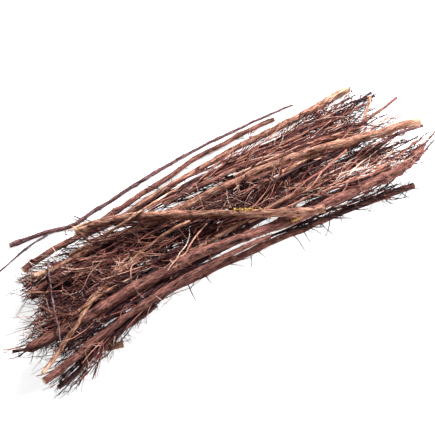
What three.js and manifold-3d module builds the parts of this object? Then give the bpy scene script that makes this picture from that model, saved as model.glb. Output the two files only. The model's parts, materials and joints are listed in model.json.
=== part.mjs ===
// A loose bundle of heather brushwood: cut sticks and finer branching sprays, heaped side by side.
// Millimetres, +Z up, X along the bundle.
// Every stick and spray is one solid, and each rests on the ground or on those laid before it.
import * as THREE from "three";
import { mergeVertices } from "three/addons/utils/BufferGeometryUtils.js";
import Module from "manifold-3d";

// Driving dimensions
const CLEARANCE = 0.5; // air left between two pieces that rest on each other
const STICK_SIDES = 6;
const SPRAY_SIDES = 5;
const SIDE_TWIG_SIDES = 3;
const STICK_STEP = 40; // longest distance between two rings of a stick
const SPRAY_STEP = 46;
const SIDE_TWIG_RINGS = 4;
const BARK_SWELL = 0.07; // share by which a stick's radius wanders along its length
const WANDER = 1.1; // how far a stick strays sideways between its listed points
const WHOLE_ENDS = [1, 1];
const BROKEN_ENDS = [0.28, 0.4]; // a splinter at the butt and a thin tip, as shares of the full thickness
const STEM_TAPER = 0.45; // a spray's stem at its tip, as a share of its butt
const SIDE_TWIG_SHARE = 0.52; // a side twig's thickness, as a share of the stem's butt
const SIDE_TWIG_TAPER = 0.7;
const FIRST_FORK = 0.12; // where a spray's first side twig leaves its stem, as a share of the stem's length
const FORK_RANGE = 0.55; // the share of the stem along which the other side twigs leave
const SHORTEST_REACH = 0.72; // how much of the stem's remaining length a side twig runs beside
const LONGEST_REACH = 0.98;
const SMALLEST_SPREAD = 0.55; // the least that a side twig stands aside, as a share of its spray's spread
const SIDE_TWIG_CURVE = 1.3; // how late a side twig turns away from its stem

// How the pieces rest on each other
const CONTACT_STEP = 3; // distance between the points where a piece is tried against those below it
const DRAPE_PER_RADIUS = 55; // how far a piece stays lifted past a support, as a multiple of its radius
const STIFF_RADIUS = 4; // a stick of this radius lies straight over its supports, and thinner ones sag
const MOST_STIFF = 0.9;
const SETTLE_STEPS = 40;
const SETTLE_SHARE = 0.35; // how much of the way to its resting height a piece goes in one step
const LIFT_STEPS = 60;
const LIFT_MARGIN = 1.1;
const TOUCH = 0.01; // a shortfall below this counts as clear

// The eye that sees the bundle. A visible piece's points are plotted where the eye sees them on one level.
const EYE_AZIMUTH = THREE.MathUtils.degToRad(30);
const EYE_ELEVATION = THREE.MathUtils.degToRad(50);
const EYE_DISTANCE = 1208;
const SIGHT_CENTRE_HEIGHT = 30;
const SIGHT_LEVEL = 35;
const EYE = new THREE.Vector3(
  -Math.sin(EYE_AZIMUTH) * Math.cos(EYE_ELEVATION),
  -Math.cos(EYE_AZIMUTH) * Math.cos(EYE_ELEVATION),
  Math.sin(EYE_ELEVATION),
)
  .multiplyScalar(EYE_DISTANCE)
  .setZ(EYE_DISTANCE * Math.sin(EYE_ELEVATION) + SIGHT_CENTRE_HEIGHT);

// Bark colours
const RED_BARK = 0x6b3a2a;
const ORANGE_BARK = 0x8a5431;
const DARK_BARK = 0x45291f;
const TAN_BARK = 0xa0713f;
const GREY_BARK = 0x54423c;
const BARK_ROUGHNESS = 0.85;

const wasm = await Module();
wasm.setup();

const bundle = new THREE.Group();
const laidSegments = [];

// A fixed sequence of numbers from 0 to 1, so that every build gives the same bundle.
let seed = 20;
function chance() {
  seed = (seed * 16807) % 2147483647;
  return seed / 2147483647;
}

function between(low, high) {
  return low + (high - low) * chance();
}

// Where a plotted point lies at a given height: it slides along the line of sight.
function onSight(point, height) {
  const slide = (SIGHT_LEVEL - height) / (EYE.z - SIGHT_LEVEL);
  return new THREE.Vector3(
    point.x + (point.x - EYE.x) * slide,
    point.y + (point.y - EYE.y) * slide,
    height,
  );
}

// A smooth curve through a piece's listed points, with more points where those are far apart.
function ringedRoute(listed, longestStep) {
  const points = listed.map(([x, y]) => new THREE.Vector3(x, y, 0));
  const curve = new THREE.CatmullRomCurve3(points);
  const route = [points[0]];
  for (let i = 0; i + 1 < points.length; i += 1) {
    const parts = Math.ceil(points[i].distanceTo(points[i + 1]) / longestStep);
    for (let j = 1; j < parts; j += 1) {
      const p = curve.getPoint((i + j / parts) / (points.length - 1));
      route.push(p.setY(p.y + between(-WANDER, WANDER)));
    }
    route.push(points[i + 1]);
  }
  return route;
}

// How far along a route each of its points is, from 0 to 1.
function sharesAlong(route) {
  let run = 0;
  const runs = route.map((p, i) => {
    run += i ? p.distanceTo(route[i - 1]) : 0;
    return run;
  });
  return runs.map((r) => r / run);
}

// One strand of wood: its ring centres in plan, their radii, and how far along its piece each ring is.
function strandAlong(route, buttDiameter, tipDiameter, sides, from, to) {
  const shares = sharesAlong(route);
  const radii = shares.map((u) => {
    const taper = THREE.MathUtils.lerp(buttDiameter, tipDiameter, u) / 2;
    return taper * (1 + between(-BARK_SWELL, BARK_SWELL));
  });
  return { route, radii, sides, along: shares.map((u) => THREE.MathUtils.lerp(from, to, u)) };
}

function groundHeight(strand, i) {
  return strand.radii[i] * Math.cos(Math.PI / strand.sides);
}

// The ring centres of a piece's strands. A side twig's first ring lies inside the stem that it grows from.
function centresOf(piece, heights) {
  const rows = piece.strands.map((strand, k) =>
    strand.route.map((point, i) => {
      const height = heights[k][i];
      return piece.seen ? onSight(point, height) : new THREE.Vector3(point.x, point.y, height);
    }),
  );
  const [stem, ...sideTwigs] = piece.strands;
  sideTwigs.forEach((twig, k) => {
    const fork = twig.along[0];
    const i = stem.along.findLastIndex((t) => t <= fork);
    const u = (fork - stem.along[i]) / (stem.along[i + 1] - stem.along[i]);
    rows[k + 1][0] = rows[0][i].clone().lerp(rows[0][i + 1], u);
  });
  return rows;
}

// The height that a point of a new piece needs to clear what has been laid already.
function clearHeight(x, y, radius) {
  let needed = 0;
  for (const s of laidSegments) {
    const reach = radius + s.widest + CLEARANCE;
    const outsideX = x < s.low.x - reach || x > s.high.x + reach;
    const outsideY = y < s.low.y - reach || y > s.high.y + reach;
    if (outsideX || outsideY) continue;
    const dx = s.b.x - s.a.x;
    const dy = s.b.y - s.a.y;
    const along = ((x - s.a.x) * dx + (y - s.a.y) * dy) / (dx * dx + dy * dy);
    const t = THREE.MathUtils.clamp(along, 0, 1);
    const apart = Math.hypot(x - s.a.x - dx * t, y - s.a.y - dy * t);
    const touching = radius + THREE.MathUtils.lerp(s.radiusA, s.radiusB, t) + CLEARANCE;
    if (apart >= touching) continue;
    const rise = Math.sqrt(touching * touching - apart * apart);
    needed = Math.max(needed, THREE.MathUtils.lerp(s.a.z, s.b.z, t) + rise);
  }
  return needed;
}

// Every support under a piece: how far along it is, the rise that it needs, and how far below the piece is.
function supportsUnder(piece, heights) {
  const supports = [];
  const rows = centresOf(piece, heights);
  piece.strands.forEach((strand, k) => {
    const centres = rows[k];
    centres.forEach((_, i) => supports.push({ t: strand.along[i], rise: 0, short: 0 }));
    for (let i = 0; i + 1 < centres.length; i += 1) {
      const tries = Math.ceil(centres[i].distanceTo(centres[i + 1]) / CONTACT_STEP);
      for (let j = 0; j <= tries; j += 1) {
        const u = j / tries;
        const p = centres[i].clone().lerp(centres[i + 1], u);
        const radius = THREE.MathUtils.lerp(strand.radii[i], strand.radii[i + 1], u);
        const height = clearHeight(p.x, p.y, radius);
        if (height > 0) {
          const t = THREE.MathUtils.lerp(strand.along[i], strand.along[i + 1], u);
          const onGround = THREE.MathUtils.lerp(groundHeight(strand, i), groundHeight(strand, i + 1), u);
          supports.push({ t, rise: Math.max(0, height - onGround), short: height - p.z });
        }
      }
    }
  });
  return supports;
}

// The straight line on which a rigid stick rests: the edge of the supports' upper hull under its middle.
function restingLine(supports) {
  const sorted = [...supports].sort((a, b) => a.t - b.t || a.rise - b.rise);
  const hull = [];
  for (const p of sorted) {
    while (hull.length > 1) {
      const [o, a] = hull.slice(-2);
      const turn = (a.t - o.t) * (p.rise - o.rise) - (a.rise - o.rise) * (p.t - o.t);
      if (turn < 0) break;
      hull.pop();
    }
    hull.push(p);
  }
  const right = Math.max(1, hull.findIndex((p) => p.t > 0.5));
  const [a, b] = [hull[right - 1], hull[right]];
  return (t) => a.rise + ((b.rise - a.rise) * (t - a.t)) / Math.max(b.t - a.t, 1e-6);
}

// How far the supports hold a piece up at one place: fully over each one, and less away from it.
function heldUp(t, supports, amount, piece) {
  const drape = DRAPE_PER_RADIUS * piece.radius;
  return supports.reduce((most, s) => {
    const d = (Math.abs(t - s.t) * piece.length) / drape;
    return d < 1 ? Math.max(most, amount(s) * (1 - d * d) ** 2) : most;
  }, 0);
}

// The height of each ring of a piece on its supports: stiff wood spans them, thin wood drapes over them.
function restingHeights(piece, supports) {
  const line = restingLine(supports);
  const stiffness = Math.min(MOST_STIFF, piece.radius / STIFF_RADIUS);
  const draped = (t) => heldUp(t, supports, (s) => s.rise, piece);
  return piece.strands.map((strand) =>
    strand.along.map((t, i) => {
      const sag = draped(t);
      return groundHeight(strand, i) + THREE.MathUtils.lerp(sag, Math.max(line(t), sag), stiffness);
    }),
  );
}

// Lets a piece down onto those already laid, then lifts it off anything that it still touches.
function settle(piece) {
  let heights = piece.strands.map((strand) => strand.route.map((_, i) => groundHeight(strand, i)));
  const steps = piece.seen ? SETTLE_STEPS : 1;
  for (let step = 0; step < steps; step += 1) {
    const target = restingHeights(piece, supportsUnder(piece, heights));
    const share = piece.seen ? SETTLE_SHARE : 1;
    heights = heights.map((row, k) => row.map((z, i) => THREE.MathUtils.lerp(z, target[k][i], share)));
  }
  for (let step = 0; step < LIFT_STEPS; step += 1) {
    const short = supportsUnder(piece, heights).filter((s) => s.short > TOUCH);
    if (!short.length) break;
    const lift = (t) => LIFT_MARGIN * heldUp(t, short, (s) => s.short, piece);
    heights = heights.map((row, k) => row.map((z, i) => z + lift(piece.strands[k].along[i])));
  }
  piece.centres = centresOf(piece, heights);
}

// Remembers a settled piece, so that the next ones rest on it.
function remember(piece) {
  piece.strands.forEach((strand, k) => {
    for (let i = 0; i + 1 < piece.centres[k].length; i += 1) {
      const a = piece.centres[k][i];
      const b = piece.centres[k][i + 1];
      const [radiusA, radiusB] = strand.radii.slice(i, i + 2);
      const box = new THREE.Box3().setFromPoints([a, b]);
      const widest = Math.max(radiusA, radiusB);
      laidSegments.push({ a, b, radiusA, radiusB, widest, low: box.min, high: box.max });
    }
  });
}

// A closed tapered tube round a row of ring centres, with one flat side turned to the ground.
function strandGeometry(centres, radii, sides) {
  const positions = [];
  const index = [];
  const last = centres.length - 1;
  centres.forEach((centre, i) => {
    const ahead = centres[Math.min(i + 1, last)];
    const behind = centres[Math.max(i - 1, 0)];
    const tangent = ahead.clone().sub(behind).normalize();
    const up = new THREE.Vector3(0, 0, 1).addScaledVector(tangent, -tangent.z).normalize();
    const side = tangent.clone().cross(up);
    for (let k = 0; k < sides; k += 1) {
      const angle = -Math.PI / 2 + Math.PI / sides + (2 * Math.PI * k) / sides;
      const corner = centre
        .clone()
        .addScaledVector(side, radii[i] * Math.cos(angle))
        .addScaledVector(up, radii[i] * Math.sin(angle));
      positions.push(corner.x, corner.y, corner.z);
    }
  });
  for (let i = 0; i < last; i += 1) {
    for (let k = 0; k < sides; k += 1) {
      const a = i * sides + k;
      const b = i * sides + ((k + 1) % sides);
      index.push(a, a + sides, b, b, a + sides, b + sides);
    }
  }
  for (let k = 1; k + 1 < sides; k += 1) {
    index.push(0, k, k + 1);
    index.push(last * sides, last * sides + k + 1, last * sides + k);
  }
  const geometry = new THREE.BufferGeometry();
  geometry.setAttribute("position", new THREE.Float32BufferAttribute(positions, 3));
  geometry.setIndex(index);
  return geometry;
}

function solidOf(geometry) {
  const merged = mergeVertices(geometry, 1e-4);
  return new wasm.Manifold(
    new wasm.Mesh({
      numProp: 3,
      vertProperties: new Float32Array(merged.attributes.position.array),
      triVerts: new Uint32Array(merged.index.array),
    }),
  );
}

// Strands that grew together, joined into one solid.
function grownTogether(geometries) {
  const joined = geometries.map(solidOf).reduce((whole, strand) => whole.add(strand));
  const mesh = joined.getMesh();
  const geometry = new THREE.BufferGeometry();
  geometry.setAttribute("position", new THREE.BufferAttribute(mesh.vertProperties, 3));
  geometry.setIndex(new THREE.BufferAttribute(mesh.triVerts, 1));
  return geometry;
}

// Settles a piece on the heap and adds its mesh to the bundle.
function lay(name, bark, piece) {
  settle(piece);
  remember(piece);
  const tubes = piece.strands.map((s, k) => strandGeometry(piece.centres[k], s.radii, s.sides));
  const geometry = tubes.length > 1 ? grownTogether(tubes) : tubes[0];
  const material = new THREE.MeshStandardMaterial({ color: bark, roughness: BARK_ROUGHNESS, metalness: 0 });
  const mesh = new THREE.Mesh(geometry, material);
  mesh.name = name;
  bundle.add(mesh);
}

function routeLength(route) {
  return route.slice(1).reduce((sum, p, i) => sum + p.distanceTo(route[i]), 0);
}

// A cut stick. Its listed points run from the butt to the tip.
function stick(name, bark, buttDiameter, tipDiameter, listed, seen = true, ends = WHOLE_ENDS) {
  const route = ringedRoute(listed, STICK_STEP);
  const strand = strandAlong(route, buttDiameter, tipDiameter, STICK_SIDES, 0, 1);
  strand.radii[0] *= ends[0];
  strand.radii[route.length - 1] *= ends[1];
  const radius = (buttDiameter + tipDiameter) / 4;
  lay(name, bark, { seen, radius, length: routeLength(route), strands: [strand] });
}

// A branching spray: a thin stem, and side twigs that leave it in turn on both sides and run on beside it.
function spray(name, bark, stemDiameter, sideTwigs, spread, listed, seen = true) {
  const stem = ringedRoute(listed, SPRAY_STEP);
  const length = routeLength(stem);
  const curve = new THREE.CatmullRomCurve3(stem);
  const strands = [strandAlong(stem, stemDiameter, stemDiameter * STEM_TAPER, SPRAY_SIDES, 0, 1)];
  for (let k = 0; k < sideTwigs; k += 1) {
    const fork = FIRST_FORK + (FORK_RANGE * k) / sideTwigs;
    const share = (1 - fork) * between(SHORTEST_REACH, LONGEST_REACH);
    const aside = (k % 2 ? 1 : -1) * spread * between(SMALLEST_SPREAD, 1);
    const route = [];
    for (let i = 0; i < SIDE_TWIG_RINGS; i += 1) {
      const u = i / (SIDE_TWIG_RINGS - 1);
      const at = Math.min(fork + share * u, 1);
      const tangent = curve.getTangentAt(at);
      const across = new THREE.Vector3(-tangent.y, tangent.x, 0);
      const turned = Math.sin((u * Math.PI) / 2) ** SIDE_TWIG_CURVE;
      route.push(curve.getPointAt(at).addScaledVector(across, aside * turned));
    }
    const thick = stemDiameter * SIDE_TWIG_SHARE;
    strands.push(strandAlong(route, thick, thick * SIDE_TWIG_TAPER, SIDE_TWIG_SIDES, fork, fork + share));
  }
  lay(name, bark, { seen, radius: stemDiameter / 2, length, strands });
}

// A seen piece's points are plotted from the eye. A hidden piece's are plan positions.
const SEEN = true;
const PLAN = false;

// The bottom layer, on the ground
stick("ground_stick_1", DARK_BARK, 8, 6.5, [[-196, -30], [-60, -20], [70, -16], [205, -12]], PLAN);
stick("ground_stick_2", RED_BARK, 7.5, 6, [[212, 14], [80, 10], [-60, -2], [-188, -6]], PLAN);
stick("ground_stick_3", DARK_BARK, 8, 6, [[-180, 22], [-50, 26], [80, 34], [196, 36]], PLAN);
stick("ground_stick_4", RED_BARK, 7, 5.5, [[190, 58], [70, 56], [-50, 50], [-165, 44]], PLAN);
stick("ground_stick_5", DARK_BARK, 6.5, 5, [[-120, 66], [0, 74], [110, 80], [205, 82]], PLAN);
stick("pale_stub", TAN_BARK, 6.5, 5, [[-152, -91], [-168, -87], [-186, -80]]);
stick("near_edge_stick", RED_BARK, 6.8, 6, [
  [192, -66], [165, -63.5], [140, -61], [90, -58], [40, -57], [-10, -57.5], [-60, -58.5], [-105, -63],
  [-150, -73], [-190, -84],
]);
stick("near_fan_stick", DARK_BARK, 4.5, 4, [
  [-224, -104], [-200, -96], [-175, -86], [-145, -77], [-105, -68],
]);

// Hidden sprays and sticks that fill the inside of the bundle
spray("inner_spray_1", GREY_BARK, 3.6, 4, 16, [[170, -4], [60, -2], [-70, -12], [-205, -42]], PLAN);
spray("inner_spray_2", GREY_BARK, 3.6, 4, 16, [[-150, 8], [0, 16], [120, 14], [222, 6]], PLAN);
spray("inner_spray_3", GREY_BARK, 3.4, 4, 16, [[140, 44], [0, 40], [-120, 30], [-200, 20]], PLAN);
spray("inner_spray_4", GREY_BARK, 3.4, 4, 15, [[-120, 58], [0, 64], [110, 66], [215, 66]], PLAN);
stick("inner_stick_1", RED_BARK, 6.5, 5, [[-185, -20], [-50, -6], [90, 18], [195, 40]], PLAN);
stick("inner_stick_2", DARK_BARK, 6, 4.5, [[180, 2], [50, 18], [-80, 34], [-180, 38]], PLAN);
stick("inner_stick_3", RED_BARK, 6, 4.5, [[150, 30], [20, 38], [-100, 34], [-190, 14]], PLAN);
stick("inner_stick_4", DARK_BARK, 6.5, 5, [[-175, -34], [-40, -24], [100, -8], [190, 6]], PLAN);
stick("inner_stick_5", RED_BARK, 6, 4.5, [[200, 22], [60, 6], [-70, 10], [-172, 2]], PLAN);
spray("inner_spray_5", GREY_BARK, 3.4, 4, 15, [[-140, -20], [-10, -8], [110, 6], [212, 22]], PLAN);
spray("inner_spray_6", GREY_BARK, 3.4, 4, 15, [[150, 16], [30, 26], [-90, 22], [-196, 2]], PLAN);

// The far side
stick("far_thin_stick", DARK_BARK, 4.8, 2.4, [
  [-196, 67], [-170, 65], [-148, 61.5], [-130, 59], [-112, 63.5], [-85, 69], [-50, 76.5], [-10, 83],
  [30, 88.5], [70, 91], [110, 93], [148, 93.5],
]);
stick("far_thin_branch", GREY_BARK, 2.4, 1.8, [[-158, 60.5], [-180, 56.5], [-200, 49.5], [-217, 42]]);
stick("far_stick_1", RED_BARK, 6.2, 5, [
  [-197, 33], [-160, 40], [-120, 47], [-80, 55.5], [-40, 64], [0, 73], [40, 79], [80, 84], [118, 84.5],
]);
stick("far_stick_2", ORANGE_BARK, 8.5, 5, [
  [213, 84], [180, 79.5], [150, 75.5], [120, 72.5], [85, 70], [45, 67], [5, 61], [-35, 54.5], [-75, 47],
]);
spray("far_spray_1", GREY_BARK, 3.2, 4, 9, [[-30, 57], [50, 58], [130, 58], [234, 66]]);
spray("far_spray_2", GREY_BARK, 3.2, 4, 10, [[-60, 41], [30, 47], [120, 50], [226, 56]]);
stick("pale_cut_stick", RED_BARK, 6, 4.5, [
  [172, 38.5], [150, 35], [120, 37], [80, 41], [40, 43], [0, 41], [-40, 38],
]);
stick("right_tan_stick", TAN_BARK, 4.5, 3, [
  [85, 15], [130, 20], [165, 24], [190, 29], [203, 38], [215, 49], [228, 62],
]);
stick("right_thin_stick", RED_BARK, 5, 3.2, [
  [60, 38], [100, 34], [140, 30], [175, 30], [200, 34], [225, 39], [251, 46],
]);
spray("far_spray_3", GREY_BARK, 3, 3, 9, [[40, 36], [110, 38], [180, 32], [238, 22]]);
spray("left_spray_1", GREY_BARK, 3.2, 4, 10, [[0, 14], [-80, 18], [-150, 14], [-206, 19]]);

// The right end and the middle
stick("right_dark_stick", DARK_BARK, 6, 3, [
  [40, -12], [90, -10], [130, -8], [170, -4], [200, -2], [225, 0], [250, -2],
]);
spray("right_spray_1", GREY_BARK, 3.2, 4, 10, [[0, -14], [80, -14], [160, -14], [242, -14]]);
spray("right_spray_2", GREY_BARK, 3, 4, 9, [[20, -24], [100, -26], [170, -28], [232, -34]]);
spray("left_spray_2", GREY_BARK, 3.2, 4, 12, [[30, -6], [-60, -8], [-140, -6], [-208, 2]]);
spray("left_spray_3", GREY_BARK, 3.2, 4, 12, [[20, -22], [-70, -22], [-150, -24], [-216, -28]]);
spray("left_spray_5", GREY_BARK, 3, 4, 11, [[-10, -32], [-80, -34], [-150, -36], [-218, -48]]);
spray("left_spray_4", GREY_BARK, 3, 4, 11, [[-20, -40], [-90, -46], [-160, -44], [-222, -36]]);
spray("near_spray_1", GREY_BARK, 3.2, 4, 12, [[-20, -50], [-100, -58], [-165, -74], [-222, -100]]);
spray("near_spray_3", GREY_BARK, 3, 4, 10, [[-70, -54], [-130, -66], [-180, -86], [-212, -106]]);
spray("near_spray_2", DARK_BARK, 2.8, 3, 8, [[20, -50], [80, -51], [130, -54], [180, -56]]);
stick("left_red_stick", RED_BARK, 5.6, 4, [
  [-200, 5], [-165, 8], [-130, 8], [-95, 12], [-55, 14], [-10, 11], [40, 7],
]);
stick("near_inner_stick", DARK_BARK, 5.4, 4, [
  [-202, -66], [-160, -60], [-120, -54], [-80, -50], [-40, -48.5], [0, -50],
]);
stick("front_stick", RED_BARK, 10, 8.6, [
  [-243, -48], [-228, -52], [-200, -51], [-170, -48], [-140, -43], [-110, -39.5], [-75, -37.5],
  [-45, -34.5], [-10, -36], [30, -40], [70, -44], [110, -42.5], [150, -42], [185, -43], [212, -37],
  [232, -27], [258, -15],
], SEEN, BROKEN_ENDS);
spray("middle_spray_1", GREY_BARK, 3, 4, 13, [[-110, -24], [-40, -16], [40, -10], [130, -6]]);
spray("middle_spray_2", GREY_BARK, 3, 4, 13, [[150, 12], [70, 10], [-10, 4], [-100, -4]]);
stick("middle_brown_stick", ORANGE_BARK, 4.6, 3.2, [
  [-60, -29], [-30, -26.5], [0, -23], [30, -19], [70, -16], [120, -14],
]);
stick("ridge_stick", ORANGE_BARK, 8.6, 6, [
  [251, 5], [225, 9.5], [195, 13.5], [165, 18.5], [140, 24], [115, 28], [80, 29], [40, 28.5], [0, 27.5],
  [-40, 25.5], [-80, 25], [-120, 25], [-155, 20], [-190, 20],
]);
spray("forked_twig", ORANGE_BARK, 3.6, 2, 12, [[165, 8], [140, 3], [118, -3], [70, -10]]);
stick("near_cut_stick", RED_BARK, 7, 4.5, [
  [-232, -92], [-205, -85], [-180, -77], [-150, -69], [-120, -62], [-90, -56], [-55, -52.5], [-15, -50],
  [30, -50],
]);
stick("diagonal_stick", ORANGE_BARK, 8.6, 7.6, [
  [-132, 53], [-110, 49], [-85, 42.5], [-65, 34], [-40, 21.5], [-10, 5], [20, -11], [50, -27], [80, -41],
  [97, -47],
]);
stick("pale_thin_twig", TAN_BARK, 2.8, 2, [[-150, 27], [-120, 31], [-85, 37], [-50, 45], [-15, 51]]);
stick("long_tan_twig", TAN_BARK, 4.2, 2.6, [
  [-229, -84], [-205, -68], [-183, -53], [-165, -39.5], [-148, -29], [-125, -18.5], [-100, -8.5],
  [-75, -0.5], [-50, 4.5], [-28, 6.5],
]);
stick("short_tan_twig", TAN_BARK, 3, 2.2, [[-172, -37], [-152, -32], [-130, -29], [-104, -28]]);
stick("crossing_thin_twig", GREY_BARK, 2, 1.6, [
  [-171, 31], [-178, 14], [-184, -4], [-190, -24], [-196, -44], [-202, -62],
]);

// The origin is the middle of the bundle's footprint, on the ground.
const box = new THREE.Box3().setFromObject(bundle);
const middle = box.getCenter(new THREE.Vector3());
bundle.children.forEach((mesh) => mesh.position.set(-middle.x, -middle.y, -box.min.z));

export default bundle;
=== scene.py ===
# %% [markdown]
# # A loose bundle of twigs
# The bundle is cut heather brushwood: sticks with flaking bark, and sprays of fine twigs tangled
# between them. The frame gives one plain solid for every stick and spray. This lesson reads each
# solid's route back from its mesh, grows bark or fine twigs along it, and puts the finished piece
# exactly where the solid was.

# %% Load the frame
import json
import math

import bpy
import numpy as np
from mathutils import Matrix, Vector


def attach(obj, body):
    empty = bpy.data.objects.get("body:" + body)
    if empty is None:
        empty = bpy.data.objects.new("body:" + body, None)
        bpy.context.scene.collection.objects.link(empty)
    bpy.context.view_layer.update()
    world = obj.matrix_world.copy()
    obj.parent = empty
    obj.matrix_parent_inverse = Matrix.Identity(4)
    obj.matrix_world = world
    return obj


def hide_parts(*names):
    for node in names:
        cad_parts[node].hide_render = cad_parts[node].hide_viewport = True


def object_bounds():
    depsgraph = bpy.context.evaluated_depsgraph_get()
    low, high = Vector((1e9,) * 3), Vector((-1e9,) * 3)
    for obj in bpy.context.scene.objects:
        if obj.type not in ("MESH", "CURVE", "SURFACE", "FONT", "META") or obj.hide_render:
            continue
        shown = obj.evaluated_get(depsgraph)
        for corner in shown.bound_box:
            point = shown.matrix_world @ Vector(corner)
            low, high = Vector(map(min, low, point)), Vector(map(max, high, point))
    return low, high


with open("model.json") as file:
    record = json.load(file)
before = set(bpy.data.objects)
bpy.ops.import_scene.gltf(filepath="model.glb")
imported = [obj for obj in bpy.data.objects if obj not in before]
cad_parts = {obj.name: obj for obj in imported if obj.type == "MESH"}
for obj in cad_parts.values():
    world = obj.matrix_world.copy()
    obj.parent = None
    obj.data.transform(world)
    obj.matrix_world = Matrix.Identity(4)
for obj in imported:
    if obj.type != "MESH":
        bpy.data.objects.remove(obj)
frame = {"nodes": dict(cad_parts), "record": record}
cad_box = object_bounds()
MM = 0.001
chance = np.random.default_rng(11)
print("solids in the frame:", len(frame["nodes"]))

# %% [markdown]
# ## One class for node maths
# Both the shapes and the finishes below are node trees. A wrapped socket can be used in plain
# Python arithmetic, and each operator adds the Math node that it stands for. Every other node comes
# from the one method `node`.


# %% Node maths
class Wire:
    """A node tree, and a socket in it that works in Python arithmetic."""

    def __init__(self, tree, socket=None):
        self.tree = tree
        self.socket = socket

    def node(self, kind, settings=None, inputs=None, output=0):
        made = self.tree.nodes.new(kind)
        for name, value in (settings or {}).items():
            if name == "stops":
                self.set_stops(made.color_ramp, value)
            else:
                setattr(made, name, value)
        for key, value in (inputs or {}).items():
            self.feed(made.inputs[key], value)
        return Wire(self.tree, made.outputs[output])

    def feed(self, target, value):
        if isinstance(value, Wire):
            self.tree.links.new(value.socket, target)
        else:
            target.default_value = value

    def set_stops(self, ramp, stops):
        while len(ramp.elements) < len(stops):
            ramp.elements.new(1.0)
        for element, (place, colour) in zip(ramp.elements, stops):
            element.position = place
            element.color = colour

    def also(self, output):
        return Wire(self.tree, self.socket.node.outputs[output])

    def math(self, operation, *values):
        return self.node("ShaderNodeMath", {"operation": operation}, dict(enumerate(values)))

    def __add__(self, other):
        return self.math("ADD", self, other)

    def __sub__(self, other):
        return self.math("SUBTRACT", self, other)

    def __rsub__(self, other):
        return self.math("SUBTRACT", other, self)

    def __mul__(self, other):
        return self.math("MULTIPLY", self, other)

    def __truediv__(self, other):
        return self.math("DIVIDE", self, other)

    def __rtruediv__(self, other):
        return self.math("DIVIDE", other, self)

    def __abs__(self):
        return self.math("ABSOLUTE", self)

    __radd__ = __add__
    __rmul__ = __mul__

    def step(self, low, high):
        """0 below low, 1 above high, and a smooth rise between them."""
        settings = {"interpolation_type": "SMOOTHSTEP"}
        return self.node("ShaderNodeMapRange", settings, {"Value": self, "From Min": low, "From Max": high})

    def noise(self, vector, scale, detail=2.0, roughness=0.5):
        inputs = {"Vector": vector, "Scale": scale, "Detail": detail, "Roughness": roughness}
        return self.node("ShaderNodeTexNoise", {}, inputs)

    def vector(self, operation, *values):
        return self.node("ShaderNodeVectorMath", {"operation": operation}, dict(enumerate(values)))

    def blend(self, factor, first, second):
        """Mixes two colours, which are sockets 6 and 7 of a Mix node. Its colour comes out at 2."""
        return self.node("ShaderNodeMix", {"data_type": "RGBA"}, {0: factor, 6: first, 7: second}, 2)


def colour(code):
    """A colour written as six hex digits, as the linear numbers that a shader takes."""
    parts = [int(code[i : i + 2], 16) / 255 for i in (0, 2, 4)]
    return tuple(p / 12.92 if p <= 0.04045 else ((p + 0.055) / 1.055) ** 2.4 for p in parts) + (1.0,)


print("a mid grey is", [round(c, 3) for c in colour("808080")])

# %% [markdown]
# ## The bark of the sticks
# Heather bark is fibrous: long thin ridges run with the stick, and strips peel off to show paler
# wood. The tube that is made further down stores the place on the bark as `grain`, in millimetres
# round and along the stick, and its height as `ridge`, so the colours follow the real ridges: the
# grooves get painted shade and the ridge tops get painted highlights.


# %% Bark material
DULL_SHINE = 0.15


def new_material(name):
    material = bpy.data.materials.new(name)
    material.use_nodes = True
    tree = material.node_tree
    shader = tree.nodes["Principled BSDF"]
    return material, Wire(tree), shader


def attribute(wire, name, output):
    return wire.node("ShaderNodeAttribute", {"attribute_name": name}, {}, output)


def stretched_noise(grain, stretch, scale, detail=2.0, roughness=0.5):
    """Noise on the bark, stretched across the stick and along it."""
    return grain.noise(grain.vector("MULTIPLY", grain, stretch), scale, detail, roughness)


def bark_material(name, shade_and_patch_colour, bark, ridge_highlight, peel, peel_share):
    """Painted shade in the grooves and cracks, painted highlights on the ridge tops, darker patches, and
    strips peeled to the wood.
    """
    material, wire, shader = new_material(name)
    grain = attribute(wire, "grain", "Vector")
    ridge = attribute(wire, "ridge", "Fac")
    bare = attribute(wire, "shade", "Fac")
    fibre = stretched_noise(grain, (1.0, 1.0, 0.4), 2.4, 5.0, 0.65)
    patch = stretched_noise(grain, (0.25, 0.25, 0.3), 0.8, 3.0)
    strip = stretched_noise(grain, (0.55, 0.55, 0.25), 1.0, 4.0, 0.6)
    cracks = stretched_noise(grain, (1.0, 1.0, 1.3), 1.1, 4.0, 0.7).step(0.46, 0.36)
    # Painted shade: the grooves take the dark colour, and the ridges take the bark's own colour.
    body = wire.blend(ridge.step(0.2, 0.85), colour(shade_and_patch_colour), colour(bark))
    # Painted highlight: the ridge tops take the pale colour.
    lit = wire.blend(fibre.step(0.44, 0.66) * ridge.step(0.3, 0.8), body, colour(ridge_highlight))
    toned = wire.blend(patch.step(0.38, 0.68) * 0.5, lit, colour(shade_and_patch_colour))
    # Painted shade: the cracks take the dark colour.
    cracked = wire.blend(cracks * 0.85, toned, colour(shade_and_patch_colour))
    gone = (strip + bare * 0.5).step(1 - peel_share, 1.06 - peel_share)
    peeled = wire.blend(gone, cracked, colour(peel))
    wire.feed(shader.inputs["Base Color"], peeled)
    wire.feed(shader.inputs["Roughness"], 0.86 - fibre * 0.25)
    height = fibre * 0.6 + ridge * 0.4 - cracks * 0.4
    bump = wire.node("ShaderNodeBump", {}, {"Strength": 1.0, "Distance": 0.8 * MM, "Height": height})
    wire.feed(shader.inputs["Normal"], bump)
    shader.inputs["Specular IOR Level"].default_value = DULL_SHINE
    return material


# Each bark has: the dark colour, which is painted shade in grooves and cracks and also the darker patches;
# the bark; the painted highlight on ridge tops; the peeled wood; and the share that peels.
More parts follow.
